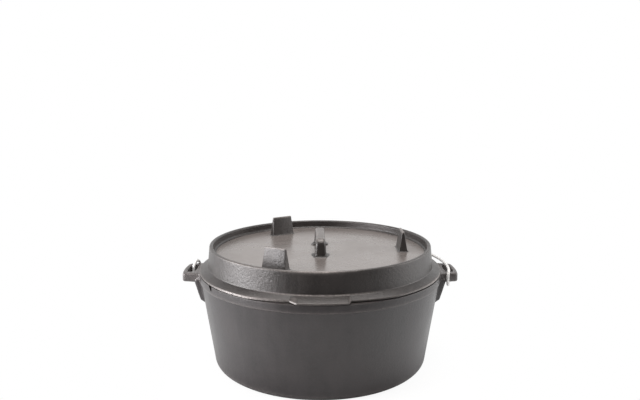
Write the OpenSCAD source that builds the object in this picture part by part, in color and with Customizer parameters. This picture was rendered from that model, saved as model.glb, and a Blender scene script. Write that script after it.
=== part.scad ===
// Camp dutch oven: a deep cast-iron pot with two loop ears, a cast lid that carries coals
// and turns over into a skillet on its three legs, and a loose wire bail.
// Millimetres, +Z up, origin at the centre of the pot's base, front of the oven towards -Y.

/* [Pot] */
// Outer radius of the pot's rim, which the lid's flange matches
rim_r = 165; // [140:1:200]
// Height from the base to the rim
pot_h = 125; // [100:1:180]
// Outer radius where the wall would meet the base if it had no round
base_r = 144.5; // [115:0.5:160]
// Thickness of the wall, measured along the radius
pot_wall = 6; // [4:0.5:9]
// Thickness of the floor
pot_floor = 6.5; // [4:0.5:10]
// Outer round between wall and base
base_round = 8; // [3:0.5:16]
// Inner round between wall and floor
floor_round = 12; // [4:0.5:20]
// Height of the raised band under the rim
band_h = 9.5; // [6:0.5:20]
// How far the band's lower edge stands out from the wall
band_step = 1.5; // [0.5:0.1:3]

/* [Ears] */
// How far the middle of an ear's outer end stands out beyond the rim
ear_reach = 23.8; // [20:0.1:34]
// How far the corners of an ear's outer end lie back from its middle
ear_bow = 2.3; // [1:0.1:5]
// Width of an ear across its outer end
ear_w = 51; // [44:1:60]
// How much further out each arm stands where it meets the pot
ear_splay = 4.5; // [0:0.5:8]
// Height of an ear's bar
ear_t = 11.8; // [8:0.1:14]
// How far an ear's top lies below the rim
ear_drop = 1.6; // [0.5:0.1:4]
// Width of an ear's outer bar
ear_bar = 6; // [4:0.5:9]
// Width of an ear's two arms
ear_arm = 10.4; // [8:0.1:12]
// Metal between the rim and an ear's hole
ear_web = 6.5; // [3:0.5:8]
// Round on an ear's outer corners
ear_round = 7; // [4:0.5:12]
// Round in the corners of an ear's hole
ear_hole_round = 3; // [1:0.5:4]

/* [Ribs] */
// Height of the rib under each arm of an ear
rib_h = 27; // [16:1:40]
// How far a rib stands out from the wall at its top
rib_top = 7.5; // [5:0.5:9]
// How far a rib stands out from the wall at its foot
rib_foot = 3.5; // [2.5:0.5:6]
// Round at a rib's foot
rib_round = 3; // [1:0.5:4]

/* [Thermometer notch] */
// Width of the notch at the rim
notch_w = 9; // [5:0.5:14]
// Width of the notch at its bottom
notch_foot_w = 2.5; // [2:0.5:5]
// Depth of the notch below the rim
notch_d = 5; // [4:0.5:10]
// Place of the notch round the rim, from +X towards +Y
notch_at = 213; // [195:1:260]

/* [Lid shell] */
// Height of the lid from the pot's rim to the top of its coal rim
lid_h = 36; // [30:1:60]
// Thickness of the flange at its edge
flange_t = 3; // [2:0.1:5]
// Rise of the flange's top from its edge to the wall
flange_rise = 5.4; // [2:0.1:9]
// Width of the flange outside the wall
flange_w = 11; // [8:0.5:18]
// How much narrower the lid's wall is at its top
lid_draft = 2.6; // [0:0.1:6]
// Thickness of the coal rim at its top
coal_rim_t = 5; // [4:0.1:7]
// Depth of the coal tray inside the rim
tray_depth = 11; // [8:0.5:20]
// Thickness of the lid's plate
plate_t = 5.5; // [4:0.5:9]
// Thickness of the lid's wall, measured along the radius
lid_wall = 5.5; // [4:0.5:8]
// How far the lid's ring reaches down inside the pot
ring_h = 4; // [2:0.5:8]
// Clearance between the lid's ring and the pot
ring_gap = 1.5; // [0.8:0.1:3]
// How far the loose lid is turned on the rim, from +X towards +Y
lid_turn = 1; // [0:1:10]

/* [Lid front tab] */
// How far the tab stands out beyond the flange
tab_reach = 2.8; // [1:0.1:8]
// Width of the tab along its outer edge
tab_w = 60; // [40:1:90]
// How much wider the tab is on each side at its root
tab_flare = 8; // [2:0.5:14]
// Depth of the flattened stretch of flange on both sides of the tab
relief_d = 6; // [3:0.5:7]
// Angle from the front at which the flattened stretch ends
relief_angle = 33; // [26:1:45]
// How far the flattened stretch leans in from the flange's edge to the wall's foot
relief_lean = 3.5; // [1:0.1:4]

/* [Lid handle] */
// Length of the loop handle, front to back
handle_l = 88; // [60:1:120]
// Width of the handle at its top
handle_w = 12; // [8:0.5:18]
// How much wider the handle is on each side where it meets the plate
handle_flare = 2; // [0:0.5:4]
// How far the handle's top stands above the coal rim
handle_rise = 12.4; // [6:0.2:30]
// Height of the handle's bar
handle_bar = 9; // [6:0.5:12]
// Length of each handle post
handle_post = 15; // [10:0.5:22]

/* [Lid legs] */
// Distance from the tray's wall in to the middle of each leg
leg_inset = 33; // [24:0.5:50]
// How far the legs' flat ends stand above the coal rim
leg_rise = 16; // [8:0.5:40]
// Width of a leg where it meets the plate
leg_w = 34.5; // [22:0.5:40]
// Width of a leg at its end
leg_end_w = 30; // [14:0.5:34]
// Thickness of a leg where it meets the plate
leg_t = 11.5; // [8:0.5:14]
// Thickness of a leg at its end
leg_end_t = 3; // [2:0.2:8]

/* [Bail] */
// Diameter of the bail's wire
wire_d = 4.2; // [3:0.1:5]
// Clearance between a hook and the arm that it swings on
hook_gap = 0.8; // [0.4:0.1:1.2]
// How far each hook wraps round its arm
hook_wrap = 270; // [200:5:285]
// Clearance between a hook's wire and the inner edge of an ear's hole, with the bail hung in the middle
hook_side_gap = 1.6; // [1:0.1:3]
// How far each hook is bent round from square to the hinge
hook_turn = 7; // [0:0.5:10]
// How far the loose bail has slid over to the left ear
bail_shift = 0.8; // [0:0.1:1.5]

/* [Hidden] */
$fn = 180;

// Points along each rounded corner of an outline, and a small overlap that joins solids cleanly
round_steps = 8;
sink = 1;
iron = "#514b49";
steel = "#c9cac8";
leg_count = 3;

// Pot: its wall runs straight from the base to the rim's outer edge
wall_slope = (rim_r - base_r) / pot_h;
band_z = pot_h - band_h;
mouth_edge = 0.8;
rim_edge = 1;

// Ears: both lie flat, and their holes begin a web's width outside the rim. An ear's outer end is two
// slanted sides with a wide round between them, which takes a quarter off the height of their corner.
ear_top_z = pot_h - ear_drop;
ear_z = ear_top_z - ear_t;
ear_end_x = rim_r + ear_reach - ear_bow;
ear_root_x = rim_r - pot_wall;
ear_slant = ear_bow * 4 / 3 / (ear_w / 2);
hole_in_x = rim_r + ear_web;
hole_out_x = ear_end_x + ear_slant * ear_arm - ear_bar;
rib_foot_z = ear_z - rib_h;

// Lid: seated on the rim, with its ring inside the pot's mouth
lid_top_z = pot_h + lid_h;
plate_z = lid_top_z - tray_depth;
flange_foot_z = pot_h + flange_t + flange_rise;
wall_foot_r = rim_r - flange_w;
wall_top_r = wall_foot_r - lid_draft;
tray_r = wall_top_r - coal_rim_t;
skillet_draft = 1;
ring_z = pot_h - ring_h;
ring_r = pot_inner_r(ring_z) - ring_gap;
skillet_foot_r = wall_foot_r - lid_wall + skillet_draft;
skillet_top_r = lid_wall_r(plate_z - plate_t) - lid_wall;
skillet_round = 7;
tray_round = 3.5;
wall_foot_round = 3;
crest_round = 2.2;
flange_edge = 1.2;
casting_edge = 0.6;

// Front relief: the circle through the relief's two ends and its deepest point
relief_half = rim_r * sin(relief_angle);
relief_sag = rim_r - relief_d - rim_r * cos(relief_angle);
relief_r = (pow(relief_half, 2) + pow(relief_sag, 2)) / (2 * relief_sag);
relief_y = relief_r - (rim_r - relief_d);

// Handle and legs stand on the plate
handle_top_z = lid_top_z + handle_rise;
handle_round = 5;
handle_gap_round = 2.5;
leg_circle_r = tray_r - leg_inset;
leg_top_z = lid_top_z + leg_rise;

// Bail: each hook turns about the middle of an arm. The right hook holds the front arm and the left
// hook holds the back arm, so the hinge axis runs at a small angle to X.
hook_r = norm([ear_arm, ear_t]) / 2 + hook_gap + wire_d / 2;
hook_x = hole_in_x + wire_d / 2 + hook_side_gap;
hook_y = arm_outer_y(hook_x) - ear_arm / 2;
hook_z = ear_z + ear_t / 2;
bail_half = norm([hook_x, hook_y]);
bail_skew = atan2(hook_y, hook_x);
bail_tilt = atan2(hook_r, bail_half);
bail_r = norm([bail_half, hook_r]);
ball_extra = 0.2;
ball_cover = 0.3;

// Outer and inner radius of the pot's wall at a height
function pot_outer_r(z) = base_r + wall_slope * z;
function pot_inner_r(z) = pot_outer_r(z) - pot_wall;

// Outer radius of the lid's wall at a height
function lid_wall_r(z) =
    wall_foot_r - lid_draft * (z - flange_foot_z) / (lid_top_z - flange_foot_z);

// Distance from the X axis to the outer face of an ear's arm
function arm_outer_y(x) =
    ear_w / 2 + ear_splay * (ear_end_x - x) / (ear_end_x - ear_root_x);

// Points of the arc that rounds the corner b between a and c with radius r
function corner_arc(a, b, c, r) =
    let (
        to_a = (a - b) / norm(a - b),
        to_c = (c - b) / norm(c - b),
        half = acos(max(-1, min(1, to_a * to_c))) / 2,
        middle = b + (to_a + to_c) / norm(to_a + to_c) * r / sin(half),
        start = b + to_a * r / tan(half) - middle,
        end = b + to_c * r / tan(half) - middle,
        sweep = 180 - 2 * half,
        turn = start.x * end.y - start.y * end.x > 0 ? 1 : -1
    )
    [for (i = [0 : round_steps])
        let (angle = turn * sweep * i / round_steps)
        middle + [
            start.x * cos(angle) - start.y * sin(angle),
            start.x * sin(angle) + start.y * cos(angle)
        ]];

// Outline through corners [x, y, radius], where a radius of 0 leaves the corner sharp
function rounded(corners) =
    let (count = len(corners))
    [for (i = [0 : count - 1])
        let (
            before = corners[(i + count - 1) % count],
            here = corners[i],
            after = corners[(i + 1) % count],
            at = [here.x, here.y]
        )
        each here.z > 0
            ? corner_arc([before.x, before.y], at, [after.x, after.y], here.z)
            : [at]];

// Solid of revolution of the pot's outside
module pot_outside() {
    band_r = pot_outer_r(band_z) + band_step;
    rotate_extrude()
        polygon(rounded([
            [0, 0, 0],
            [base_r, 0, base_round],
            [pot_outer_r(band_z - band_step), band_z - band_step, 0],
            [band_r, band_z, casting_edge],
            [rim_r, pot_h, rim_edge],
            [0, pot_h, 0]
        ]));
}

// Hollow of the pot, open at the top with a small chamfer at the mouth
module pot_hollow() {
    mouth_r = pot_inner_r(pot_h);
    rotate_extrude()
        polygon(rounded([
            [0, pot_floor, 0],
            [pot_inner_r(pot_floor), pot_floor, floor_round],
            [pot_inner_r(pot_h - mouth_edge), pot_h - mouth_edge, 0],
            [mouth_r + mouth_edge + sink, pot_h + sink, 0],
            [0, pot_h + sink, 0]
        ]));
}

// Bowed outer end of an ear or of its hole: corners of a radius at end_x, half_y to each side of the middle
function bowed_end(end_x, half_y, radius) = [
    [end_x, -half_y, radius],
    [end_x + ear_slant * half_y, 0, half_y / (2 * ear_slant)],
    [end_x, half_y, radius]
];

// Flat loop ear on the +X side, from inside the wall to its outer bar
module ear() {
    root_y = arm_outer_y(ear_root_x);
    tip_y = ear_w / 2;
    hole_root_y = arm_outer_y(hole_in_x) - ear_arm;
    hole_tip_y = arm_outer_y(hole_out_x) - ear_arm;
    translate([0, 0, ear_z])
        linear_extrude(ear_t)
            difference() {
                polygon(rounded([
                    [ear_root_x, -root_y, 0],
                    each bowed_end(ear_end_x, tip_y, ear_round),
                    [ear_root_x, root_y, 0]
                ]));
                polygon(rounded([
                    [hole_in_x, -hole_root_y, ear_hole_round],
                    each bowed_end(hole_out_x, hole_tip_y, ear_hole_round),
                    [hole_in_x, hole_root_y, ear_hole_round]
                ]));
            }
}

// Two ribs under an ear on the +X side, one below each arm
module ribs() {
    outer_y = arm_outer_y(ear_root_x + pot_wall / 2);
    inner_y = outer_y - ear_arm;
    top_x = sqrt(pow(pot_outer_r(ear_z), 2) - pow(inner_y, 2)) + rib_top;
    foot_x = sqrt(pow(pot_outer_r(rib_foot_z), 2) - pow(inner_y, 2)) + rib_foot;
    root_x = pot_inner_r(rib_foot_z) - pot_wall;
    for (side = [0, 1])
        mirror([0, side, 0])
            translate([0, outer_y, 0])
                rotate([90, 0, 0])
                    linear_extrude(ear_arm)
                        polygon(rounded([
                            [root_x, ear_z + sink, 0],
                            [root_x, rib_foot_z - rib_foot / 2, 0],
                            [foot_x, rib_foot_z, rib_round],
                            [top_x, ear_z, 0],
                            [top_x, ear_z + sink, 0]
                        ]));
}

// Tapered slot through the rim, which lets a thermometer's probe in under the lid
module notch() {
    notch_foot_round = notch_foot_w / 2 - casting_edge;
    root_r = pot_inner_r(band_z) - pot_wall;
    rotate([0, 0, notch_at])
        translate([root_r, 0, pot_h])
            rotate([90, 0, 90])
                linear_extrude(rim_r + sink - root_r)
                    polygon(rounded([
                        [-notch_w / 2, sink, 0],
                        [-notch_w / 2, 0, 0],
                        [-notch_foot_w / 2, -notch_d, notch_foot_round],
                        [notch_foot_w / 2, -notch_d, notch_foot_round],
                        [notch_w / 2, 0, 0],
                        [notch_w / 2, sink, 0]
                    ]));
}

// The pot is one casting: bowl, rim band, two ears and four ribs
module pot() {
    color(iron)
        difference() {
            union() {
                pot_outside();
                for (side = [0, 1])
                    mirror([side, 0, 0]) {
                        ear();
                        ribs();
                    }
            }
            pot_hollow();
            notch();
        }
}

// Lid without its tab, handle and legs: flange, wall, coal rim, plate and the skillet's hollow
module lid_shell() {
    rotate_extrude()
        polygon(rounded([
            [0, plate_z - plate_t, 0],
            [skillet_top_r, plate_z - plate_t, skillet_round],
            [skillet_foot_r, ring_z, casting_edge],
            [ring_r, ring_z, casting_edge],
            [ring_r, pot_h, 0],
            [rim_r, pot_h, casting_edge],
            [rim_r, pot_h + flange_t, flange_edge],
            [wall_foot_r, flange_foot_z, wall_foot_round],
            [wall_top_r, lid_top_z, crest_round],
            [tray_r, lid_top_z, crest_round],
            [tray_r, plate_z, tray_round],
            [0, plate_z, 0]
        ]));
}

// Tall drum that flattens the flange at the front, and leans in above the flange's edge
module front_relief() {
    drum_top_z = lid_top_z + sink;
    upper_r = relief_r - relief_lean;
    translate([0, relief_y, 0])
        rotate_extrude()
            polygon([
                [0, 0],
                [relief_r, 0],
                [relief_r, pot_h + flange_t],
                [upper_r, flange_foot_z],
                [upper_r, drum_top_z],
                [0, drum_top_z]
            ]);
}

// Front tab: the flange's own section drawn further out, between two slanted ends
module tab() {
    tab_r = rim_r + tab_reach;
    root_y = wall_foot_r - lid_draft;
    tip_y = tab_r + sink;
    intersection() {
        rotate_extrude()
            polygon(rounded([
                [wall_foot_r - lid_draft, pot_h, 0],
                [tab_r, pot_h, casting_edge],
                [tab_r, pot_h + flange_t, flange_edge],
                [wall_foot_r, flange_foot_z, 0],
                [wall_foot_r - lid_draft, flange_foot_z, 0]
            ]));
        translate([0, 0, pot_h - sink])
            linear_extrude(flange_t + flange_rise + 2 * sink)
                polygon([
                    [-tab_w / 2 - tab_flare, -root_y],
                    [-tab_w / 2, -tip_y],
                    [tab_w / 2, -tip_y],
                    [tab_w / 2 + tab_flare, -root_y]
                ]);
    }
}

// Loop handle along Y: a bar on two posts, rounded over its top and flared at the plate
module handle() {
    rise = handle_top_z - plate_z;
    half_l = handle_l / 2;
    half_foot_w = handle_w / 2 + handle_flare;
    gap_half = half_l - handle_post;
    translate([0, 0, plate_z])
        intersection() {
            rotate([90, 0, 90])
                linear_extrude(2 * half_foot_w, center = true)
                    difference() {
                        polygon(rounded([
                            [-half_l, -sink, 0],
                            [half_l, -sink, 0],
                            [half_l - handle_flare, rise, handle_bar],
                            [-half_l + handle_flare, rise, handle_bar]
                        ]));
                        polygon(rounded([
                            [-gap_half, 0, 0],
                            [gap_half, 0, 0],
                            [gap_half, rise - handle_bar, handle_gap_round],
                            [-gap_half, rise - handle_bar, handle_gap_round]
                        ]));
                    }
            rotate([90, 0, 0])
                linear_extrude(handle_l, center = true)
                    polygon(rounded([
                        [-half_foot_w, -sink, 0],
                        [half_foot_w, -sink, 0],
                        [handle_w / 2, rise, handle_round],
                        [-handle_w / 2, rise, handle_round]
                    ]));
        }
}

// One tapered leg at the origin's side of +X: wide along the rim, thin along the radius
module leg() {
    rise = leg_top_z - plate_z;
    translate([leg_circle_r, 0, plate_z])
        intersection() {
            rotate([90, 0, 0])
                linear_extrude(leg_w, center = true)
                    leg_side(leg_t, leg_end_t, rise);
            rotate([90, 0, 90])
                linear_extrude(leg_t, center = true)
                    leg_side(leg_w, leg_end_w, rise);
        }
}

// Side of a leg: a strip that narrows from its foot to its end, sunk a little into the plate
module leg_side(foot, end, rise) {
    polygon([
        [-foot / 2, -sink],
        [foot / 2, -sink],
        [foot / 2, 0],
        [end / 2, rise],
        [-end / 2, rise],
        [-foot / 2, 0]
    ]);
}

// The lid is one casting too: shell, front tab, loop handle and three legs
module lid() {
    color(iron)
        rotate([0, 0, lid_turn]) {
            intersection() {
                lid_shell();
                front_relief();
            }
            tab();
            handle();
            for (i = [0 : leg_count - 1])
                rotate([0, 0, i * 360 / leg_count])
                    leg();
        }
}

// Hook at the bail's right end: from the top of the arm, over its front and up inside the hole.
// A ball just thicker than the wire joins it to the ring, and another rounds its tip.
module hook() {
    start = ball_cover / hook_r * 180 / PI;
    rotate([180, -90, 0]) {
        rotate([0, 0, start])
            rotate_extrude(angle = hook_wrap - start)
                translate([hook_r, 0])
                    circle(d = wire_d);
        for (angle = [0, hook_wrap])
            rotate([0, 0, angle])
                translate([hook_r, 0, 0])
                    sphere(d = wire_d + ball_extra);
    }
}

// Wire bail, lying back behind the lid: half a ring that ends in two hooks bent in opposite ways
module bail() {
    start = ball_cover / bail_r * 180 / PI;
    color(steel)
        translate([-bail_shift, 0, hook_z])
            rotate([0, 0, -bail_skew]) {
                rotate([0, -bail_tilt, 0])
                    rotate([0, 0, start])
                        rotate_extrude(angle = 180 - 2 * start)
                            translate([bail_r, 0])
                                circle(d = wire_d);
                for (end = [-1, 1])
                    rotate([0, end > 0 ? 180 : 0, 0])
                        translate([bail_half, 0, 0])
                            rotate([0, 0, end * hook_turn])
                                hook();
            }
}

pot();
lid();
bail();
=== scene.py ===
import bpy
import numpy as np
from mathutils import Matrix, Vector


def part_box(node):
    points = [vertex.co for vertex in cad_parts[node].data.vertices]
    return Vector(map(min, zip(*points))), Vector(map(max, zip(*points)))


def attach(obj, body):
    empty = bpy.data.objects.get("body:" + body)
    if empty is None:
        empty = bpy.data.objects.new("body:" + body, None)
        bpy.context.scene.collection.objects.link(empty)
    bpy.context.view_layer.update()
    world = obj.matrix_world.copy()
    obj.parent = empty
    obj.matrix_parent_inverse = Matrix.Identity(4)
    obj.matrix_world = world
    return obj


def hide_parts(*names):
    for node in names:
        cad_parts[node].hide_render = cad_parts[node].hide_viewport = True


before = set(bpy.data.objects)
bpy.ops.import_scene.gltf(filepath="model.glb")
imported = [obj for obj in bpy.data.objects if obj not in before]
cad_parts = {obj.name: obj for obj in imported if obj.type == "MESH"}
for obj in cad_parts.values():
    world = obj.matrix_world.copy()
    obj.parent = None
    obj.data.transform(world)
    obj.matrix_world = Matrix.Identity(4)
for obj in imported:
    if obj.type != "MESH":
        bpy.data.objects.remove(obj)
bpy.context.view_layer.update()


# Pot: a deep bowl of grey iron, sand-cast in one piece with its raised rim band, its two loop ears and
# the ribs under their arms, then baked with oil until it is brown-black. It stands on its flat base.
pot_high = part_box("pot")[1]
pot_height = pot_high.z
ear_tip = pot_high.x
rim_radius = 0.165
base_radius = 0.1445
pot_wall = 0.006
pot_floor = 0.0065
base_round = 0.008
floor_round = 0.012
band_height = 0.0095
band_step = 0.0015
wall_slope = (rim_radius - base_radius) / pot_height
cap_radius = 0.004

ear_height = 0.0118
ear_drop = 0.0016
ear_width = 0.051
ear_bow = 0.0023
ear_splay = 0.0045
ear_bar = 0.006
ear_arm = 0.0104
ear_web = 0.0065
ear_end = ear_tip - ear_bow
# The end's wide round takes a quarter off the peak of its slanted sides.
ear_slant = ear_bow * 4 / 3 / (ear_width / 2)
ear_top = pot_height - ear_drop
ear_foot = ear_top - ear_height
rib_height = 0.027
rib_foot = ear_foot - rib_height
rib_reach_top = 0.0075
rib_reach_foot = 0.0035
notch_azimuth = np.radians(213)
notch_half_top = 0.0049
notch_foot = 0.0034
notch_depth = 0.0058


def smoothstep(low, high, value):
    """0 below low and 1 above high, with the cubic 3t^2 - 2t^3 between them."""
    t = np.clip((value - low) / (high - low), 0, 1)
    return t * t * (3 - 2 * t)


def rounded_outline(corners, spacing, edge_fade=0.0015, arc_steps=9):
    """Outline through corners (x, y, radius, wear), as points and the wear at each point.

    A corner with a radius becomes an arc tangent to both of its sides. The straight run between two
    corners is cut into equal steps no longer than spacing, with two more points close to each end. Wear is
    a corner's own along its arc, and dies away over edge_fade on the runs beside it.
    """
    arcs = []
    for i, (x, y, radius, wear) in enumerate(corners):
        at = np.array([x, y])
        if radius == 0:
            arcs.append(at[None])
            continue
        before = np.array(corners[i - 1][:2]) - at
        after = np.array(corners[i + 1][:2]) - at
        before /= np.linalg.norm(before)
        after /= np.linalg.norm(after)
        half = np.arccos(np.clip(before @ after, -1, 1)) / 2
        middle = at + (before + after) / np.linalg.norm(before + after) * radius / np.sin(half)
        start = at + before * radius / np.tan(half) - middle
        end = at + after * radius / np.tan(half) - middle
        turn = np.sign(start[0] * end[1] - start[1] * end[0])
        angle = turn * np.linspace(0, np.pi - 2 * half, arc_steps)
        cosine, sine = np.cos(angle), np.sin(angle)
        arcs.append(middle + np.stack([start[0] * cosine - start[1] * sine,
                                       start[0] * sine + start[1] * cosine], axis=1))
    points, wears = [arcs[0]], [np.full(len(arcs[0]), corners[0][3])]
    for i in range(1, len(corners)):
        start, end = arcs[i - 1][-1], arcs[i][0]
        length = np.linalg.norm(end - start)
        steps = np.linspace(0, length, int(np.ceil(length / spacing)) + 1)[1:-1]
        close = np.array([edge_fade / 2, edge_fade * 1.5])
        along = np.concatenate([close, steps, length - close])
        along = np.unique(along[(along > edge_fade / 3) & (along < length - edge_fade / 3)])
        points += [start + np.outer(along / length, end - start), arcs[i]]
        wears += [corners[i - 1][3] * np.exp(-along / edge_fade)
                  + corners[i][3] * np.exp((along - length) / edge_fade),
                  np.full(len(arcs[i]), corners[i][3])]
    return np.concatenate(points), np.concatenate(wears)


def crowded_azimuths(count, crowds):
    """Angles round the axis that lie closer together near each crowd (centre, half width, gain).

    They are read off at equal steps of the running sum of a density, which is 1 plus a bell of that gain
    and half width round each centre.
    """
    samples = 14401
    fine = np.linspace(0, 2 * np.pi, samples)
    density = np.ones_like(fine)
    for centre, half_width, gain in crowds:
        away = np.angle(np.exp(1j * (fine - centre)))
        density += gain * np.exp(-(away / half_width) ** 4)
    running = np.concatenate([[0], np.cumsum((density[1:] + density[:-1]) / 2)])
    return np.interp(np.arange(count) / count * running[-1], running, fine)


def waviness(azimuth, height, depth, seed):
    """Slow unevenness of a sand mould: a sum of waves round the axis and up it, each with its own phase."""
    draw = np.random.default_rng(seed)
    rise_per_turn = 9
    total = np.zeros(np.broadcast(azimuth, height).shape)
    for turns in (3, 5, 8, 13, 21):
        phase, rise = draw.uniform(0, 2 * np.pi, 2)
        upward = np.cos(turns * rise_per_turn * height + rise)
        total = total + np.sin(turns * azimuth + phase) * upward / np.sqrt(turns)
    return depth * total


def ring_shell(points, wear, grain, caps=None):
    """Closed shell of a lattice points[row, column, xyz] whose rows are rings.

    Four neighbours make a face. With two cap points, a fan joins the first and the last ring to its cap,
    and without them the last ring joins the first. The faces turn outwards: if the signed volume of the
    shell is below zero, they are all turned round. Wear and grain go with the points.
    """
    rows, columns = points.shape[:2]
    index = np.arange(rows * columns).reshape(rows, columns)
    beside = np.roll(index, -1, axis=1)
    above, above_beside = np.roll(index, -1, axis=0), np.roll(beside, -1, axis=0)
    bands = rows if caps is None else rows - 1
    quads = np.stack([index, beside, above_beside, above], axis=-1)[:bands].reshape(-1, 4)
    flat, fans = points.reshape(-1, 3), np.zeros((0, 3), int)
    wear = np.broadcast_to(wear, (rows, columns)).reshape(-1)
    grain = np.broadcast_to(grain, (rows, columns)).reshape(-1)
    if caps is not None:
        first, last = np.full(columns, rows * columns), np.full(columns, rows * columns + 1)
        fans = np.concatenate([np.stack([first, beside[0], index[0]], axis=-1),
                               np.stack([last, index[-1], beside[-1]], axis=-1)])
        flat = np.concatenate([flat, caps])
        wear = np.concatenate([wear, wear[[0, -1]]])
        grain = np.concatenate([grain, grain[[0, -1]]])
    corners = flat[np.concatenate([quads[:, :3], quads[:, [0, 2, 3]], fans])]
    if np.einsum("ij,ij->", corners[:, 0], np.cross(corners[:, 1], corners[:, 2])) < 0:
        quads, fans = quads[:, ::-1], fans[:, ::-1]
    return flat, quads, fans, wear, grain


def cast_object(name, shells):
    """One mesh object of several shells, with every point's wear and grain as attributes of those names."""
    offsets = np.cumsum([0] + [len(shell[0]) for shell in shells])
    faces = []
    for shell, offset in zip(shells, offsets):
        faces += (shell[1] + offset).tolist() + (shell[2] + offset).tolist()
    mesh = bpy.data.meshes.new(name)
    mesh.from_pydata(np.concatenate([shell[0] for shell in shells]).tolist(), [], faces)
    for place, attribute in ((3, "wear"), (4, "grain")):
        values = np.concatenate([shell[place] for shell in shells]).astype(np.float32)
        mesh.attributes.new(attribute, "FLOAT", "POINT").data.foreach_set("value", values)
    mesh.shade_smooth()
    mesh.update()
    piece = bpy.data.objects.new(name, mesh)
    bpy.context.scene.collection.objects.link(piece)
    return piece


def ear_side(x):
    """Distance from the X axis to an arm's outer face: it splays evenly from the ear's end to the wall."""
    return ear_width / 2 + ear_splay * (ear_end - x) / (ear_end - rim_radius + pot_wall)


def bowl():
    """Bowl: an outline turned round Z. Its radius grows where a rib stands out from the wall, and its rim
    sinks where the notch is, a wedge with one upright and one slanted side."""
    columns = 350
    outside_grain, inside_grain = 0.55, 0.4
    band_foot = pot_height - band_height
    wall_at = lambda z: base_radius + wall_slope * z
    outside, outside_wear = rounded_outline([
        (cap_radius, 0, 0, 0),
        (base_radius, 0, base_round, 0.06),
        (wall_at(band_foot - band_step), band_foot - band_step, 0.0012, 0),
        (wall_at(band_foot) + band_step, band_foot, 0.0007, 0.14),
        (rim_radius, pot_height, 0.0004, 0.04),
        (rim_radius - pot_wall / 2, pot_height, 0, 0.1),
    ], spacing=0.0022)
    inside, inside_wear = rounded_outline([
        (rim_radius - pot_wall / 2, pot_height, 0, 0.1),
        (rim_radius - pot_wall, pot_height, 0.0012, 0.3),
        (wall_at(pot_floor) - pot_wall, pot_floor, floor_round, 0),
        (cap_radius, pot_floor, 0, 0),
    ], spacing=0.006)
    rib_middle = np.arcsin((ear_side(rim_radius) - ear_arm / 2) / rim_radius)
    rib_spread, rib_gain = np.radians(3.2), 5.5
    notch_spread, notch_gain = np.radians(2.6), 9
    crowds = [(side + turn * rib_middle, rib_spread, rib_gain)
              for side in (0, np.pi) for turn in (-1, 1)]
    crowds.append((notch_azimuth, notch_spread, notch_gain))
    azimuth = crowded_azimuths(columns, crowds)[None]

    outline = np.concatenate([outside, inside[1:]])
    radius = np.repeat(outline[:, :1], azimuth.shape[1], axis=1)
    height = np.repeat(outline[:, 1:], azimuth.shape[1], axis=1)
    outer = (np.arange(len(outline)) < len(outside))[:, None]
    uneven = waviness(azimuth, height, depth=0.00008, seed=5)
    radius = radius + uneven * smoothstep(0.02, 0.12, radius)

    facing = np.abs(np.cos(azimuth))
    side = np.abs(radius * np.sin(azimuth))
    ear_facing = 0.9
    soft = 0.0013
    arm_outer = ear_side(rim_radius)
    arm_inner = arm_outer - ear_arm
    rib_face = np.interp(height, [rib_foot, ear_foot], [
        np.sqrt(wall_at(rib_foot) ** 2 - arm_inner ** 2) + rib_reach_foot,
        np.sqrt(wall_at(ear_foot) ** 2 - arm_inner ** 2) + rib_reach_top,
    ])
    rib = smoothstep(arm_inner - soft, arm_inner + soft, side)
    rib = rib * smoothstep(-arm_outer - soft, soft - arm_outer, -side)
    rib = rib * smoothstep(rib_foot - soft, rib_foot + 2.5 * soft, height)
    rib = rib * smoothstep(-ear_top + soft, -ear_foot - 2 * soft, -height)
    near_ear = outer & (facing > ear_facing)
    radius = radius + np.where(near_ear, rib * np.maximum(rib_face / facing - radius, 0), 0)

    from_notch = azimuth - notch_azimuth
    far_away = -1.0
    across = np.where(np.cos(from_notch) < 0, far_away, radius * np.sin(from_notch))
    slope = np.clip((across + notch_half_top) / (2 * notch_half_top - notch_foot), 0, 1)
    cut = notch_depth * slope * (across < notch_half_top)
    untouched = 0.001
    hold = pot_height - notch_depth - untouched
    squeeze = (pot_height - cut - hold) / (pot_height - hold)
    height = np.where(height > hold, hold + (height - hold) * squeeze, height)

    points = np.stack([radius * np.cos(azimuth), radius * np.sin(azimuth), height], axis=-1)
    wear = np.repeat(np.concatenate([outside_wear, inside_wear[1:]])[:, None], azimuth.shape[1], axis=1)
    grain = np.where(outer, outside_grain, inside_grain)
    return ring_shell(points, wear, grain, [(0, 0, 0), (0, 0, pot_floor)])


def rounded_loop(corners, run_steps, bend_steps):
    """Closed line through corners (x, y, radius), with an arc at each corner and equal numbers of steps on
    every run and on every bend, so that the steps of two such lines with as many corners go together."""
    count = len(corners)
    places = np.array([corner[:2] for corner in corners])
    even = np.linspace(0, 1, run_steps)[1:-1, None]
    bends = []
    for i in range(count):
        at, radius = places[i], corners[i][2]
        to_before = (places[i - 1] - at) / np.linalg.norm(places[i - 1] - at)
        to_after = (places[(i + 1) % count] - at) / np.linalg.norm(places[(i + 1) % count] - at)
        half = np.arccos(to_before @ to_after) / 2
        outward = -(to_before + to_after) / np.linalg.norm(to_before + to_after)
        along = (to_after - to_before) / np.linalg.norm(to_after - to_before)
        swing = np.linspace(-1, 1, bend_steps)[:, None] * (np.pi / 2 - half)
        centre = at - outward * radius / np.sin(half)
        bends.append(centre + radius * (np.cos(swing) * outward + np.sin(swing) * along))
    runs = [bends[i][-1] + even * (bends[(i + 1) % count][0] - bends[i][-1]) for i in range(count)]
    return np.concatenate([part for pair in zip(bends, runs) for part in pair])


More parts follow.
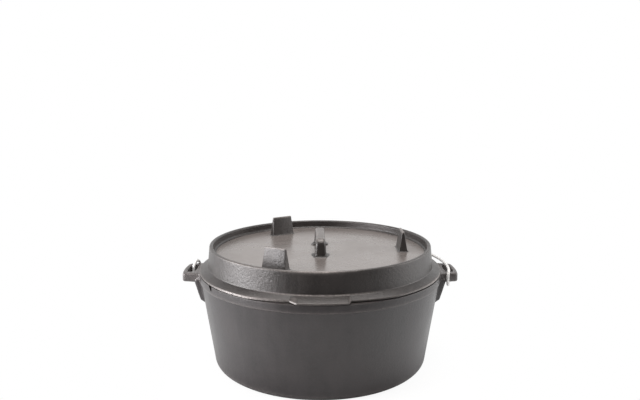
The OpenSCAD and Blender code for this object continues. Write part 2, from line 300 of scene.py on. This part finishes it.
def rounded_sections(half_width, half_height, corner, corner_steps=7):
    """Offsets (across, up) of the points of a rounded rectangle for each station: four quarter circles of
    the corner's radius, pushed out to the corners of the given half sizes."""
    quarter = np.linspace(0, np.pi / 2, corner_steps)
    angle = np.concatenate([quarter + k * np.pi / 2 for k in range(4)])[None]
    right = np.repeat([1, -1, -1, 1], corner_steps)[None]
    upper = np.repeat([1, 1, -1, -1], corner_steps)[None]
    corner = np.broadcast_to(corner, np.shape(half_width))[:, None]
    across = right * (half_width[:, None] - corner) + corner * np.cos(angle)
    up = upper * (half_height[:, None] - corner) + corner * np.sin(angle)
    return across, up


def fillet(distance, radius):
    """How far a quarter-circle fillet of that radius stands out, at a distance from the face it meets."""
    return radius - np.sqrt(radius ** 2 - (radius - np.clip(distance, 0, radius)) ** 2)


def bowed_end(end, half, low_radius, high_radius):
    """Corners of a bowed outer end: two slanted sides from corners of those radii, half to each side of
    the middle, with a wide round between them."""
    peak = (end + ear_slant * half, 0, half / (2 * ear_slant))
    return [(end, -half, low_radius), peak, (end, half, high_radius)]


def ear(turn):
    """Loop ear on one side: a rounded bar between an outer line, which closes inside the wall, and the
    line of the hole. The arms swell in a fillet where they run into the wall, and the front corner is the
    sharper one."""
    wear, grain = 0.14, 0.6
    run_steps, bend_steps = 34, 14
    front_round, back_round = 0.0050, 0.0075
    root_round, hole_round, section_round = 0.001, 0.003, 0.0025
    root_fillet, fillet_end = 0.0016, ear_end - 0.011
    hole_inset = 0.0006
    root = rim_radius - pot_wall * 0.8
    rounds = (front_round, back_round) if turn > 0 else (back_round, front_round)
    hole_start = rim_radius + ear_web + hole_inset
    hole_end = ear_end + ear_slant * ear_arm - ear_bar
    hole_side = lambda x: ear_side(x) - ear_arm
    outer = rounded_loop([
        (root, ear_side(root), root_round),
        (root, -ear_side(root), root_round),
        *bowed_end(ear_end, ear_width / 2, *rounds),
    ], run_steps, bend_steps)
    inner = rounded_loop([
        (hole_start, hole_side(hole_start), hole_round),
        (hole_start, -hole_side(hole_start), hole_round),
        *bowed_end(hole_end, hole_side(hole_end), hole_round, hole_round),
    ], run_steps, bend_steps)
    wall_x = np.sqrt(rim_radius ** 2 - outer[:, 1] ** 2)
    swell = fillet(outer[:, 0] - wall_x, root_fillet) * (outer[:, 0] < fillet_end)
    outer[:, 1] += np.sign(outer[:, 1]) * swell
    middle = (outer + inner) / 2
    reach = np.linalg.norm(outer - inner, axis=1)
    across_way = (outer - inner) / reach[:, None]
    across, up = rounded_sections(reach / 2, np.full(len(reach), ear_height / 2), section_round)
    plane = middle[:, None] + across[..., None] * across_way[:, None]
    height = ear_top - ear_height / 2 + up
    return ring_shell(np.concatenate([turn * plane, height[..., None]], axis=-1), wear, grain)


def add_node(tree, kind, **sockets):
    """New shader node; a socket takes a number or colour, or a link from another node's output."""
    node = tree.nodes.new(kind)
    for name, value in sockets.items():
        socket = node.inputs[name.replace("_", " ")]
        if isinstance(value, bpy.types.NodeSocket):
            tree.links.new(value, socket)
        else:
            socket.default_value = value
    return node


def noise(tree, place, size, detail=3.0, roughness=0.6):
    """Noise whose grains are about size metres across, as a value round 0.5."""
    return add_node(tree, "ShaderNodeTexNoise", Vector=place, Scale=1 / size, Detail=detail,
                    Roughness=roughness).outputs["Fac"]


def remap(tree, value, low, high, to_low, to_high):
    """Linear map of a value from one range to another, held at both ends."""
    node = tree.nodes.new("ShaderNodeMapRange")
    tree.links.new(value, node.inputs["Value"])
    for name, number in (("From Min", low), ("From Max", high), ("To Min", to_low), ("To Max", to_high)):
        node.inputs[name].default_value = number
    return node.outputs["Result"]


def mixed(tree, factor, first, second):
    """Blend of two colours by a factor that varies over the surface."""
    node = tree.nodes.new("ShaderNodeMix")
    node.data_type = "RGBA"
    tree.links.new(factor, node.inputs["Factor"])
    for socket, colour in ((node.inputs["A"], first), (node.inputs["B"], second)):
        if isinstance(colour, bpy.types.NodeSocket):
            tree.links.new(colour, socket)
        else:
            socket.default_value = colour
    return node.outputs["Result"]


def combined(tree, operation, first, second):
    """Sum, product or other plain combination of two values that vary over the surface."""
    node = tree.nodes.new("ShaderNodeMath")
    node.operation = operation
    for socket, value in zip(node.inputs, (first, second)):
        if isinstance(value, bpy.types.NodeSocket):
            tree.links.new(value, socket)
        else:
            socket.default_value = value
    return node.outputs["Value"]


def surface_value(tree, name):
    """Value that the mesh keeps at its points under a name."""
    node = tree.nodes.new("ShaderNodeAttribute")
    node.attribute_name = name
    return node.outputs["Fac"]


def seasoned_iron(name, black, brown, gloss_ior, grain_size, grain_depth):
    """Oil-baked cast iron: a brown-black skin in cloudy patches with faint streaks down its sides, the sand
    mould's grain as bump where the piece's own grain says so, and bare grey metal where its wear says so
    (on the lid partly painted highlight lines) and, thinly, where there is hardly any grain."""
    bare_metal = (0.60, 0.54, 0.51, 1)
    streak_squash = (1, 1, 0.12)
    material = bpy.data.materials.new(name)
    material.use_nodes = True
    tree = material.node_tree
    tree.nodes.clear()
    place = tree.nodes.new("ShaderNodeTexCoord").outputs["Object"]
    upright = add_node(tree, "ShaderNodeMapping", Vector=place, Scale=streak_squash).outputs["Vector"]
    clouds = noise(tree, place, 0.055, 2.0)
    streaks = noise(tree, upright, 0.012, 1.0)
    mottle = noise(tree, place, 0.0055, 3.0)
    pebbles = noise(tree, place, 1.6 * grain_size, 1.0)
    sand = noise(tree, place, grain_size, 3.0, 0.7)
    grain = surface_value(tree, "grain")
    chipped = remap(tree, noise(tree, place, 0.0045, 4.0, 0.75), 0.36, 0.62, 0.45, 1.0)
    bare = combined(tree, "MULTIPLY", surface_value(tree, "wear"), chipped)
    bare = combined(tree, "ADD", bare, remap(tree, grain, 0.12, 0.35, 0.36, 0))
    patchy = combined(tree, "ADD", combined(tree, "MULTIPLY", clouds, 0.65),
                      combined(tree, "MULTIPLY", streaks, 0.35))
    skin = mixed(tree, remap(tree, patchy, 0.38, 0.62, 0, 1), black, brown)
    skin = mixed(tree, remap(tree, mottle, 0.35, 0.7, 0, 0.4), skin, brown)
    speckle = combined(tree, "MULTIPLY", grain, remap(tree, sand, 0.5, 0.75, 0, 0.55))
    skin = mixed(tree, speckle, skin, tuple(1.7 * value for value in brown))
    coarse = add_node(tree, "ShaderNodeBump", Height=pebbles, Strength=grain, Distance=grain_depth)
    fine = add_node(tree, "ShaderNodeBump", Height=sand, Strength=grain, Distance=grain_depth,
                    Normal=coarse.outputs["Normal"])
    satin = remap(tree, grain, 0, 1, 0.26, 0.39)
    satin = combined(tree, "ADD", satin, remap(tree, patchy, 0.30, 0.70, -0.05, 0.09))
    shader = add_node(tree, "ShaderNodeBsdfPrincipled", Base_Color=mixed(tree, bare, skin, bare_metal),
                      Roughness=satin, Metallic=remap(tree, bare, 0, 1, 0, 0.7), IOR=gloss_ior,
                      Normal=fine.outputs["Normal"])
    output = tree.nodes.new("ShaderNodeOutputMaterial")
    tree.links.new(shader.outputs["BSDF"], output.inputs["Surface"])
    return material


pot_black = (0.018, 0.015, 0.016, 1)
pot_brown = (0.034, 0.029, 0.030, 1)
pot = cast_object("pot_casting", [bowl(), ear(1), ear(-1)])
pot.data.materials.append(seasoned_iron("pot_seasoned_iron", pot_black, pot_brown, gloss_ior=1.72,
                                        grain_size=0.0017, grain_depth=0.0003))
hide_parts("pot")
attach(pot, "pot")


# Lid: a second iron casting that sits loose on the rim, held central by a ring inside the pot's mouth. Its
# flange is drawn out into a tab at the front, its raised wall keeps coals on the plate, and the loop handle
# and three flat legs stand up from the plate, so that it works as a skillet when it is turned over.
leg_end_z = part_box("lid")[1].z
lid_height = 0.036
lid_turn = np.radians(1)
flange_edge = 0.003
flange_seam = 0.0014
flange_rise = 0.0054
flange_width = 0.011
lid_draft = 0.0026
coal_rim = 0.005
tray_depth = 0.011
plate_thickness = 0.0055
lid_wall = 0.0055
ring_height = 0.004
ring_gap = 0.0015
lid_top = pot_height + lid_height
plate_z = lid_top - tray_depth
wall_foot_z = pot_height + flange_edge + flange_rise
wall_foot = rim_radius - flange_width
wall_top = wall_foot - lid_draft
tray_radius = wall_top - coal_rim
tab_reach = 0.0027
tab_half = 0.0296
tab_root_left = 0.0393
tab_root_right = 0.0343
relief_depth = 0.006
relief_half = np.radians(33)


def flange_radius(from_front):
    """Radius of the flange's edge at an angle from the front, and the tab's share there, from 0 to 1. A
    flatter circle cuts the round flange back at the front, and between two slanted ends the tab stands out
    beyond it."""
    chord = rim_radius * np.sin(relief_half)
    sag = rim_radius - relief_depth - rim_radius * np.cos(relief_half)
    flat_radius = (chord ** 2 + sag ** 2) / (2 * sag)
    back = flat_radius - (rim_radius - relief_depth)
    flat = np.sqrt(flat_radius ** 2 - (back * np.sin(from_front)) ** 2) - back * np.cos(from_front)
    edge = np.where(np.abs(from_front) < np.pi / 2, np.minimum(rim_radius, flat), rim_radius)
    across = np.abs(np.sin(from_front)) * rim_radius
    root = np.where(from_front < 0, tab_root_left, tab_root_right)
    tab = np.clip((root - across) / (root - tab_half), 0, 1) * (np.cos(from_front) > 0)
    return edge + (rim_radius + tab_reach - edge) * tab, tab


def lid_shell():
    """Lid without handle and legs: an outline turned round Z, from the plate over the coal rim, down the
    wall, round the flange's edge and back under it to the skillet's bottom. The flange's part of the
    outline is stretched to the edge's radius at each angle, and the gap under it is nearly shut at the
    left front."""
    columns = 390
    plate_grain, cast_grain = 0.05, 1.0
    seam_width, seam_gap = 0.0024, 0.0002
    ring_foot = pot_height - ring_height
    ring_radius = base_radius + wall_slope * ring_foot - pot_wall - ring_gap
    skillet_z = plate_z - plate_thickness
    skillet_radius = wall_foot - lid_wall - lid_draft * (skillet_z - wall_foot_z) / (lid_top - wall_foot_z)
    ring_inner = wall_foot - lid_wall + 0.001
    outline, wear = rounded_outline([
        (cap_radius, plate_z, 0, 0),
        (tray_radius, plate_z, 0.0035, 0),
        (tray_radius, lid_top, 0.0022, 0.15),
        (wall_top, lid_top, 0.0016, 1.0),
        (wall_foot, wall_foot_z, 0.0010, 0),
        (rim_radius, pot_height + flange_edge, 0.0008, 1.0),
        (rim_radius, pot_height + flange_seam, 0.0005, 0.3),
        (rim_radius - seam_width, pot_height + seam_gap, 0, 0),
        (ring_radius, pot_height, 0, 0),
        (ring_radius, ring_foot, 0.0006, 0.1),
        (ring_inner, ring_foot, 0.0006, 0.1),
        (skillet_radius, skillet_z, 0.007, 0),
        (cap_radius, skillet_z, 0, 0),
    ], spacing=0.0036, edge_fade=0.0006)
    front = -np.pi / 2
    tab_ends = ((-1, tab_root_left), (1, tab_root_right))
    tab_spread, tab_gain = np.radians(2.4), 8
    crowds = [(front + turn * (tab_half + root) / 2 / rim_radius, tab_spread, tab_gain)
              for turn, root in tab_ends]
    azimuth = crowded_azimuths(columns, crowds)[None]
    from_front = np.angle(np.exp(1j * (azimuth - front)))
    radius = np.repeat(outline[:, :1], azimuth.shape[1], axis=1)
    height = np.repeat(outline[:, 1:], azimuth.shape[1], axis=1)

    edge, tab = flange_radius(from_front)
    flange_band = (height >= pot_height + flange_edge - 0.001) & (height < wall_foot_z + 0.004)
    upper = (radius > wall_foot) & flange_band
    lower = (radius > ring_radius) & (height < pot_height + flange_edge)
    share = (radius - wall_foot) / flange_width
    share_lower = (radius - ring_radius) / (rim_radius - ring_radius)
    radius = np.where(upper, wall_foot + share * (edge - wall_foot),
                      np.where(lower, ring_radius + share_lower * (edge - ring_radius), radius))

    bell = lambda centre, width: np.exp(-((from_front - np.radians(centre)) / np.radians(width)) ** 2)
    closing = 0.6 * bell(-36, 30)
    shut = pot_height + (height - pot_height) * (1 - closing)
    height = np.where(lower & (height > pot_height), shut, height)

    # Real rubbing on the flange edge and crest all round, raised in bells at the front and front-left into
    # painted highlight lines.
    edge_wear_and_highlight = 0.13 + 0.19 * bell(-36, 18) + 0.42 * bell(62, 12)
    crest_wear_and_highlight = 0.03 + 0.18 * bell(-40, 14) + 0.50 * bell(-2, 14)
    rubbing_and_highlight = np.where(height > lid_top - 0.006, crest_wear_and_highlight, edge_wear_and_highlight)
    tab_end = 4 * tab * (1 - tab)
    left_flash, right_flash = 0.12, 0.2
    flash = tab_end * np.where(from_front < 0, left_flash, right_flash) * (upper & (share > 0.5))
    # Painted highlight: lighter bare metal in a thin line along the wall's foot at the front.
    foot_line_level, foot_line_half, foot_line_width, foot_line_height = 0.4, np.radians(24), 0.09, 0.0012
    painted_foot_line = np.exp(-(from_front / foot_line_half) ** 4) * np.exp(-(share / foot_line_width) ** 2)
    painted_foot_line = painted_foot_line * (upper | (share < 0))
    painted_foot_line = painted_foot_line * (np.abs(height - wall_foot_z) < foot_line_height)
    wear = np.clip(wear[:, None] * rubbing_and_highlight + flash + foot_line_level * painted_foot_line, 0, 1)
    plate = (outline[:, 0] < tray_radius - 0.003) & (outline[:, 1] > plate_z - 0.001)
    grain = np.where(plate, plate_grain, cast_grain)[:, None]
    uneven = waviness(azimuth, height, depth=0.00007, seed=11)
    radius = radius + uneven * smoothstep(0.02, 0.12, radius)
    turned = azimuth + lid_turn
    points = np.stack([radius * np.cos(turned), radius * np.sin(turned), height], axis=-1)
    return ring_shell(points, wear, grain, [(0, 0, plate_z), (0, 0, skillet_z)])


def leg(azimuth):
    """Flat leg on the plate: rounded rectangles stacked up from a filleted foot, narrowing to a flat
    end."""
    end_wear, worn_height, grain = 0.35, 0.003, 1.0
    inset = 0.033
    circle = tray_radius - inset
    sunk = 0.002
    foot = plate_z - sunk
    foot_half_width, end_half_width = 0.01725, 0.015
    foot_half_depth, end_half_depth = 0.00575, 0.0016
    foot_fillet = 0.0016
    shaft_foot = plate_z + 0.0028
    round_over = 0.0007
    corner_round = 0.0009
    rise = leg_end_z - plate_z
    height = np.concatenate([
        [foot], plate_z + foot_fillet * np.linspace(0, 1, 8) ** 1.5,
        np.linspace(shaft_foot, leg_end_z - 1.5 * round_over, 18),
        leg_end_z - round_over * (1 - np.sin(np.linspace(0, np.pi / 2, 7))),
    ])
    share = (height - plate_z) / rise
    swell = fillet(height - plate_z, foot_fillet)
    over = np.clip(height - leg_end_z + round_over, 0, round_over)
    tuck = round_over - np.sqrt(round_over ** 2 - over ** 2)
    half_width = foot_half_width + (end_half_width - foot_half_width) * share + swell - tuck
    half_depth = foot_half_depth + (end_half_depth - foot_half_depth) * share + swell - tuck
    corner = np.minimum(corner_round, half_depth * 0.85)
    across, along = rounded_sections(half_width, half_depth, corner)
    out = circle + along
    points = np.stack([out * np.cos(azimuth) - across * np.sin(azimuth),
                       out * np.sin(azimuth) + across * np.cos(azimuth),
                       np.broadcast_to(height[:, None], out.shape)], axis=-1)
    wear = smoothstep(leg_end_z - worn_height, leg_end_z, height)[:, None] * end_wear
    return ring_shell(points, wear, grain, points[[0, -1]].mean(axis=1))


def handle():
    """Loop handle along Y: a bar between an outer and an inner line that both close inside the plate, with
    round edges and a fillet where each post runs into the plate."""
    top_wear, worn_height, grain = 0.25, 0.006, 0.8
    run_steps, bend_steps = 30, 16
    half_length, lean, post, bar = 0.044, 0.002, 0.015, 0.009
    half_thick, foot_swell = 0.006, 0.002
    foot_round, top_round, gap_round, section_round = 0.001, 0.0095, 0.0036, 0.004
    post_fillet = 0.004
    stand = 0.0124
    top = lid_top + stand
    gap = half_length - post
    outer_foot, inner_foot = plate_z - 0.004, plate_z - 0.0015
    outer = rounded_loop([
        (-half_length, outer_foot, foot_round),
        (half_length, outer_foot, foot_round),
        (half_length - lean, top, top_round),
        (-half_length + lean, top, top_round),
    ], run_steps, bend_steps)
    inner = rounded_loop([
        (-gap, inner_foot, foot_round),
        (gap, inner_foot, foot_round),
        (gap, top - bar, gap_round),
        (-gap, top - bar, gap_round),
    ], run_steps, bend_steps)
    middle = (outer + inner) / 2
    reach = np.linalg.norm(outer - inner, axis=1)
    across_way = (outer - inner) / reach[:, None]
    swell = fillet(middle[:, 1] - plate_z, post_fillet)
    half_width = reach / 2 + swell * (np.abs(middle[:, 0]) > gap)
    half_height = half_thick + foot_swell * (top - middle[:, 1]) / (top - plate_z) + swell
    across, up = rounded_sections(half_width, half_height, np.minimum(section_round, half_width * 0.9))
    plane = middle[:, None] + across[..., None] * across_way[:, None]
    cosine, sine = np.cos(lid_turn), np.sin(lid_turn)
    along, height = plane[..., 0], plane[..., 1]
    points = np.stack([up * cosine - along * sine, up * sine + along * cosine, height], axis=-1)
    return ring_shell(points, smoothstep(top - worn_height, top, height) * top_wear, grain)


lid_black = (0.015, 0.012, 0.011, 1)
lid_brown = (0.028, 0.022, 0.020, 1)
legs = [leg(k * 2 * np.pi / 3 + lid_turn) for k in range(3)]
lid = cast_object("lid_casting", [lid_shell(), handle(), *legs])
lid.data.materials.append(seasoned_iron("lid_seasoned_iron", lid_black, lid_brown, gloss_ior=1.8,
                                        grain_size=0.0022, grain_depth=0.00024))
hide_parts("lid")
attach(lid, "lid")


# Bail: one length of bright drawn steel wire, bent into half a ring with a hook at each end. The hooks hang
# loose round the right ear's front arm and the left ear's back arm, so it swings over the lid.
wire_radius = 0.00198
hook_gap = 0.0008
hook_wrap = np.radians(270)
hook_turn = np.radians(7)
bail_shift = 0.0008
hook_inset = 0.0037
hook_x = rim_radius + ear_web + hook_inset
hook_y = ear_side(hook_x) - ear_arm / 2
hook_z = ear_foot + ear_height / 2
hook_radius = np.hypot(ear_arm, ear_height) / 2 + hook_gap + wire_radius


def bail_wire():
    """Wire along half a ring that turns into a hook at both ends. The ring is tilted about the
    front-to-back line so that its ends meet the right hook's top and the left hook's bottom, and each hook
    turns a little out of square to the hinge as it leaves the ring. Round each point of the line lies a
    circle square to it, and the wire's ends are round."""
    ring_steps, hook_steps, tip_steps, around_steps = 221, 70, 6, 20
    turned_after = np.radians(70)
    half_span = np.hypot(hook_x, hook_y)
    skew = np.arctan2(hook_y, hook_x)
    tilt = np.arctan2(hook_radius, half_span)
    ring_radius = np.hypot(half_span, hook_radius)
    hinge = np.array([1.0, 0.0, 0.0])

    angle = np.linspace(0, np.pi, ring_steps)[:, None]
    ring_out = np.concatenate([
        np.cos(angle) * np.cos(tilt),
        np.sin(angle),
        np.cos(angle) * np.sin(tilt),
    ], axis=1)

    wrap = np.linspace(0, hook_wrap, hook_steps)[1:, None]
    turn = hook_turn * smoothstep(0, turned_after, wrap)
    hook_out = np.concatenate([
        -np.sin(wrap) * np.sin(turn),
        -np.sin(wrap) * np.cos(turn),
        np.cos(wrap),
    ], axis=1)
    right = half_span * hinge + hook_radius * hook_out
    left = -half_span * hinge + hook_radius * hook_out * [1, 1, -1]

    line = np.concatenate([right[::-1], ring_radius * ring_out, left])
    side = np.concatenate([
        np.broadcast_to(hinge, right.shape),
        ring_out,
        np.broadcast_to(-hinge, left.shape),
    ])
    ahead = np.gradient(line, axis=0)
    ahead /= np.linalg.norm(ahead, axis=1, keepdims=True)
    side = side - np.sum(side * ahead, axis=1, keepdims=True) * ahead
    side /= np.linalg.norm(side, axis=1, keepdims=True)
    up = np.cross(ahead, side)
    tip = np.linspace(0, np.pi / 2, tip_steps)[1:-1, None]
    line = np.concatenate([line[:1] - wire_radius * np.sin(tip[::-1]) * ahead[:1], line,
                           line[-1:] + wire_radius * np.sin(tip) * ahead[-1:]])
    thick = np.concatenate([np.cos(tip[::-1]), np.ones((len(ahead), 1)), np.cos(tip)]) * wire_radius
    side = np.pad(side, ((len(tip), len(tip)), (0, 0)), mode="edge")
    up = np.pad(up, ((len(tip), len(tip)), (0, 0)), mode="edge")

    around = np.linspace(0, 2 * np.pi, around_steps, endpoint=False)[None, :, None]
    circle = np.cos(around) * side[:, None] + np.sin(around) * up[:, None]
    points = line[:, None] + thick[:, None] * circle
    to_end = wire_radius - wire_radius * np.sin(tip[-1])
    ends = np.stack([line[0] - to_end * ahead[0], line[-1] + to_end * ahead[-1]])
    cosine, sine = np.cos(-skew), np.sin(-skew)
    askew = np.array([[cosine, -sine, 0], [sine, cosine, 0], [0, 0, 1]])
    lift = np.array([-bail_shift, 0, hook_z])
    points = points @ askew.T + lift
    ends = ends @ askew.T + lift
    return ring_shell(points, 0, 0, ends)


def drawn_steel(name):
    """Bright plated steel wire: a pale, partly metallic skin with a slightly cloudy polish and fine
    scratches."""
    dull, bright = (0.86, 0.86, 0.85, 1), (0.94, 0.94, 0.93, 1)
    material = bpy.data.materials.new(name)
    material.use_nodes = True
    tree = material.node_tree
    tree.nodes.clear()
    place = tree.nodes.new("ShaderNodeTexCoord").outputs["Object"]
    clouds = noise(tree, place, 0.012, 3.0)
    scratches = noise(tree, place, 0.0007, 2.0)
    bump = add_node(tree, "ShaderNodeBump", Height=scratches, Strength=0.1, Distance=0.0001)
    shader = add_node(tree, "ShaderNodeBsdfPrincipled", Metallic=0.25,
                      Base_Color=mixed(tree, clouds, dull, bright),
                      Roughness=remap(tree, clouds, 0.3, 0.7, 0.36, 0.48), Normal=bump.outputs["Normal"])
    output = tree.nodes.new("ShaderNodeOutputMaterial")
    tree.links.new(shader.outputs["BSDF"], output.inputs["Surface"])
    return material


bail = cast_object("bail_wire", [bail_wire()])
bail.data.materials.append(drawn_steel("bail_drawn_steel"))
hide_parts("bail")
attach(bail, "bail")


# Studio: a white floor under a white surround, a large soft lamp on each side, the right one weaker, and
# one overhead. The surround is darker behind the camera, as in a room where only the backdrop is lit.
floor_size = 6.0
floor_drop = 0.0003
floor_reach = 0.45
floor_glow = 0.91


def studio_floor():
    """Flat white sheet. To the camera it is part plain white and part lit paper near the object, which
    keeps the object's shadow, and fully white further off. Reflections see lit paper near the object and,
    further off, a white that fades towards the camera, where the room is dark."""
    edge_points = 13
    paper_grey, shadow_grey = (0.62, 0.62, 0.62, 1), (0.11, 0.11, 0.11, 1)
    oval_scale = (2.2, 1, 1)
    edge = np.linspace(-floor_size / 2, floor_size / 2, edge_points)
    across, along = np.meshgrid(edge, edge, indexing="ij")
    index = np.arange(across.size).reshape(across.shape)
    quads = np.stack([index[:-1, :-1], index[1:, :-1], index[1:, 1:], index[:-1, 1:]], axis=-1)
    below = np.full(across.shape, -floor_drop)
    points = np.stack([across, along, below], axis=-1)
    mesh = bpy.data.meshes.new("floor")
    mesh.from_pydata(points.reshape(-1, 3).tolist(), [], quads.reshape(-1, 4).tolist())
    floor = bpy.data.objects.new("floor", mesh)
    bpy.context.scene.collection.objects.link(floor)

    material = bpy.data.materials.new("white_paper")
    material.use_nodes = True
    tree = material.node_tree
    tree.nodes.clear()
    place = tree.nodes.new("ShaderNodeTexCoord").outputs["Object"]
    oval = add_node(tree, "ShaderNodeMapping", Vector=place, Scale=oval_scale).outputs["Vector"]
    away = add_node(tree, "ShaderNodeVectorMath")
    away.operation = "LENGTH"
    tree.links.new(oval, away.inputs[0])
    far = remap(tree, away.outputs["Value"], floor_reach * 0.5, floor_reach, 0, 1)
    parts = add_node(tree, "ShaderNodeSeparateXYZ", Vector=place)
    rays = tree.nodes.new("ShaderNodeLightPath").outputs
    mirrored = combined(tree, "MAXIMUM", rays["Is Glossy Ray"], rays["Is Transmission Ray"])
    looked_at = combined(tree, "MAXIMUM", rays["Is Camera Ray"], combined(tree, "MULTIPLY", mirrored, far))
    fading = remap(tree, parts.outputs["Y"], -0.60, -0.16, 0.06, 1.0)
    level = combined(tree, "MAXIMUM", rays["Is Camera Ray"], fading)
    paper = add_node(tree, "ShaderNodeBsdfDiffuse", Color=paper_grey)
    lit = add_node(tree, "ShaderNodeBsdfDiffuse", Color=shadow_grey)
    glow = add_node(tree, "ShaderNodeEmission", Color=(1, 1, 1, 1),
                    Strength=combined(tree, "MULTIPLY", level, floor_glow))
    white = add_node(tree, "ShaderNodeEmission", Color=(1, 1, 1, 1), Strength=level)
    near = tree.nodes.new("ShaderNodeAddShader")
    tree.links.new(lit.outputs["BSDF"], near.inputs[0])
    tree.links.new(glow.outputs["Emission"], near.inputs[1])
    seen = tree.nodes.new("ShaderNodeMixShader")
    tree.links.new(far, seen.inputs["Fac"])
    tree.links.new(near.outputs["Shader"], seen.inputs[1])
    tree.links.new(white.outputs["Emission"], seen.inputs[2])
    surface = tree.nodes.new("ShaderNodeMixShader")
    tree.links.new(looked_at, surface.inputs["Fac"])
    tree.links.new(paper.outputs["BSDF"], surface.inputs[1])
    tree.links.new(seen.outputs["Shader"], surface.inputs[2])
    output = tree.nodes.new("ShaderNodeOutputMaterial")
    tree.links.new(surface.outputs["Shader"], output.inputs["Surface"])
    mesh.materials.append(material)
    return floor


def soft_lamp(name, place, width, height, power, colour):
    """Rectangular area lamp that faces the middle of the object."""
    aim = (0, 0, 0.14)
    data = bpy.data.lights.new(name, "AREA")
    data.shape = "RECTANGLE"
    data.size, data.size_y = width, height
    data.energy = power
    data.color = colour
    lamp = bpy.data.objects.new(name, data)
    lamp.location = place
    way = np.array(aim, float) - np.array(place, float)
    pitch = np.arccos(-way[2] / np.linalg.norm(way))
    heading = np.arctan2(way[1], way[0]) - np.pi / 2
    lamp.rotation_euler = (pitch, 0, heading)
    bpy.context.scene.collection.objects.link(lamp)


def surround():
    """World: white to the camera. Reflections see the same white behind the object, which fades to dark
    grey behind the camera and dims overhead. As light on the object it is weaker and more even."""
    sky_strength, sky_floor = 0.6, 0.65
    world = bpy.data.worlds.new("surround")
    bpy.context.scene.world = world
    world.use_nodes = True
    tree = world.node_tree
    tree.nodes.clear()
    way = tree.nodes.new("ShaderNodeTexCoord").outputs["Generated"]
    parts = tree.nodes.new("ShaderNodeSeparateXYZ")
    tree.links.new(way, parts.inputs["Vector"])
    rays = tree.nodes.new("ShaderNodeLightPath").outputs
    mirrored = combined(tree, "MAXIMUM", rays["Is Glossy Ray"], rays["Is Transmission Ray"])
    looked_at = combined(tree, "MAXIMUM", rays["Is Camera Ray"], mirrored)
    room_level = combined(tree, "MULTIPLY", remap(tree, parts.outputs["Y"], -0.55, 0.35, 0.07, 1.0),
                          remap(tree, parts.outputs["Z"], 0.30, 0.66, 1.0, 0.45))
    seen_level = combined(tree, "MAXIMUM", rays["Is Camera Ray"], room_level)
    even_level = combined(tree, "MAXIMUM", room_level, sky_floor)
    light_level = combined(tree, "MULTIPLY", even_level, sky_strength)
    light = add_node(tree, "ShaderNodeBackground", Color=(1, 1, 1, 1), Strength=light_level)
    seen = add_node(tree, "ShaderNodeBackground", Color=(1, 1, 1, 1), Strength=seen_level)
    mix = tree.nodes.new("ShaderNodeMixShader")
    tree.links.new(looked_at, mix.inputs["Fac"])
    tree.links.new(light.outputs["Background"], mix.inputs[1])
    tree.links.new(seen.outputs["Background"], mix.inputs[2])
    output = tree.nodes.new("ShaderNodeOutputWorld")
    tree.links.new(mix.outputs["Shader"], output.inputs["Surface"])


studio_floor()
surround()
soft_lamp("left_lamp", (-0.95, -0.31, 0.30), width=0.80, height=0.58, power=12.8,
          colour=(1.0, 0.97, 0.98))
soft_lamp("right_lamp", (0.95, 0.02, 0.42), width=0.75, height=0.60, power=3.2,
          colour=(1.0, 0.95, 0.93))
soft_lamp("top_lamp", (0.0, 0.0, 1.5), width=1.3, height=1.2, power=16,
          colour=(1.0, 0.95, 0.92))
bpy.context.scene.view_settings.view_transform = "Standard"


# Camera: it stands in front of the pot, higher than its lid, and looks down at a slight angle. The lens is
# shifted so that the pot stands at the lower edge of the picture, as in the photograph.
image_width = 640
focal_pixels = 642.3
camera_tilt = np.radians(6.04)
frame_shift_pixels = -39.5
camera_place = (-0.00015, -0.8746, 0.3667)
camera_data = bpy.data.cameras.new("camera")
camera_data.sensor_width = 36.0
camera_data.lens = camera_data.sensor_width * focal_pixels / image_width
camera_data.shift_y = frame_shift_pixels / image_width
camera = bpy.data.objects.new("camera", camera_data)
camera.location = camera_place
camera.rotation_euler = (np.pi / 2 - camera_tilt, 0, 0)
bpy.context.scene.collection.objects.link(camera)
bpy.context.scene.camera = camera
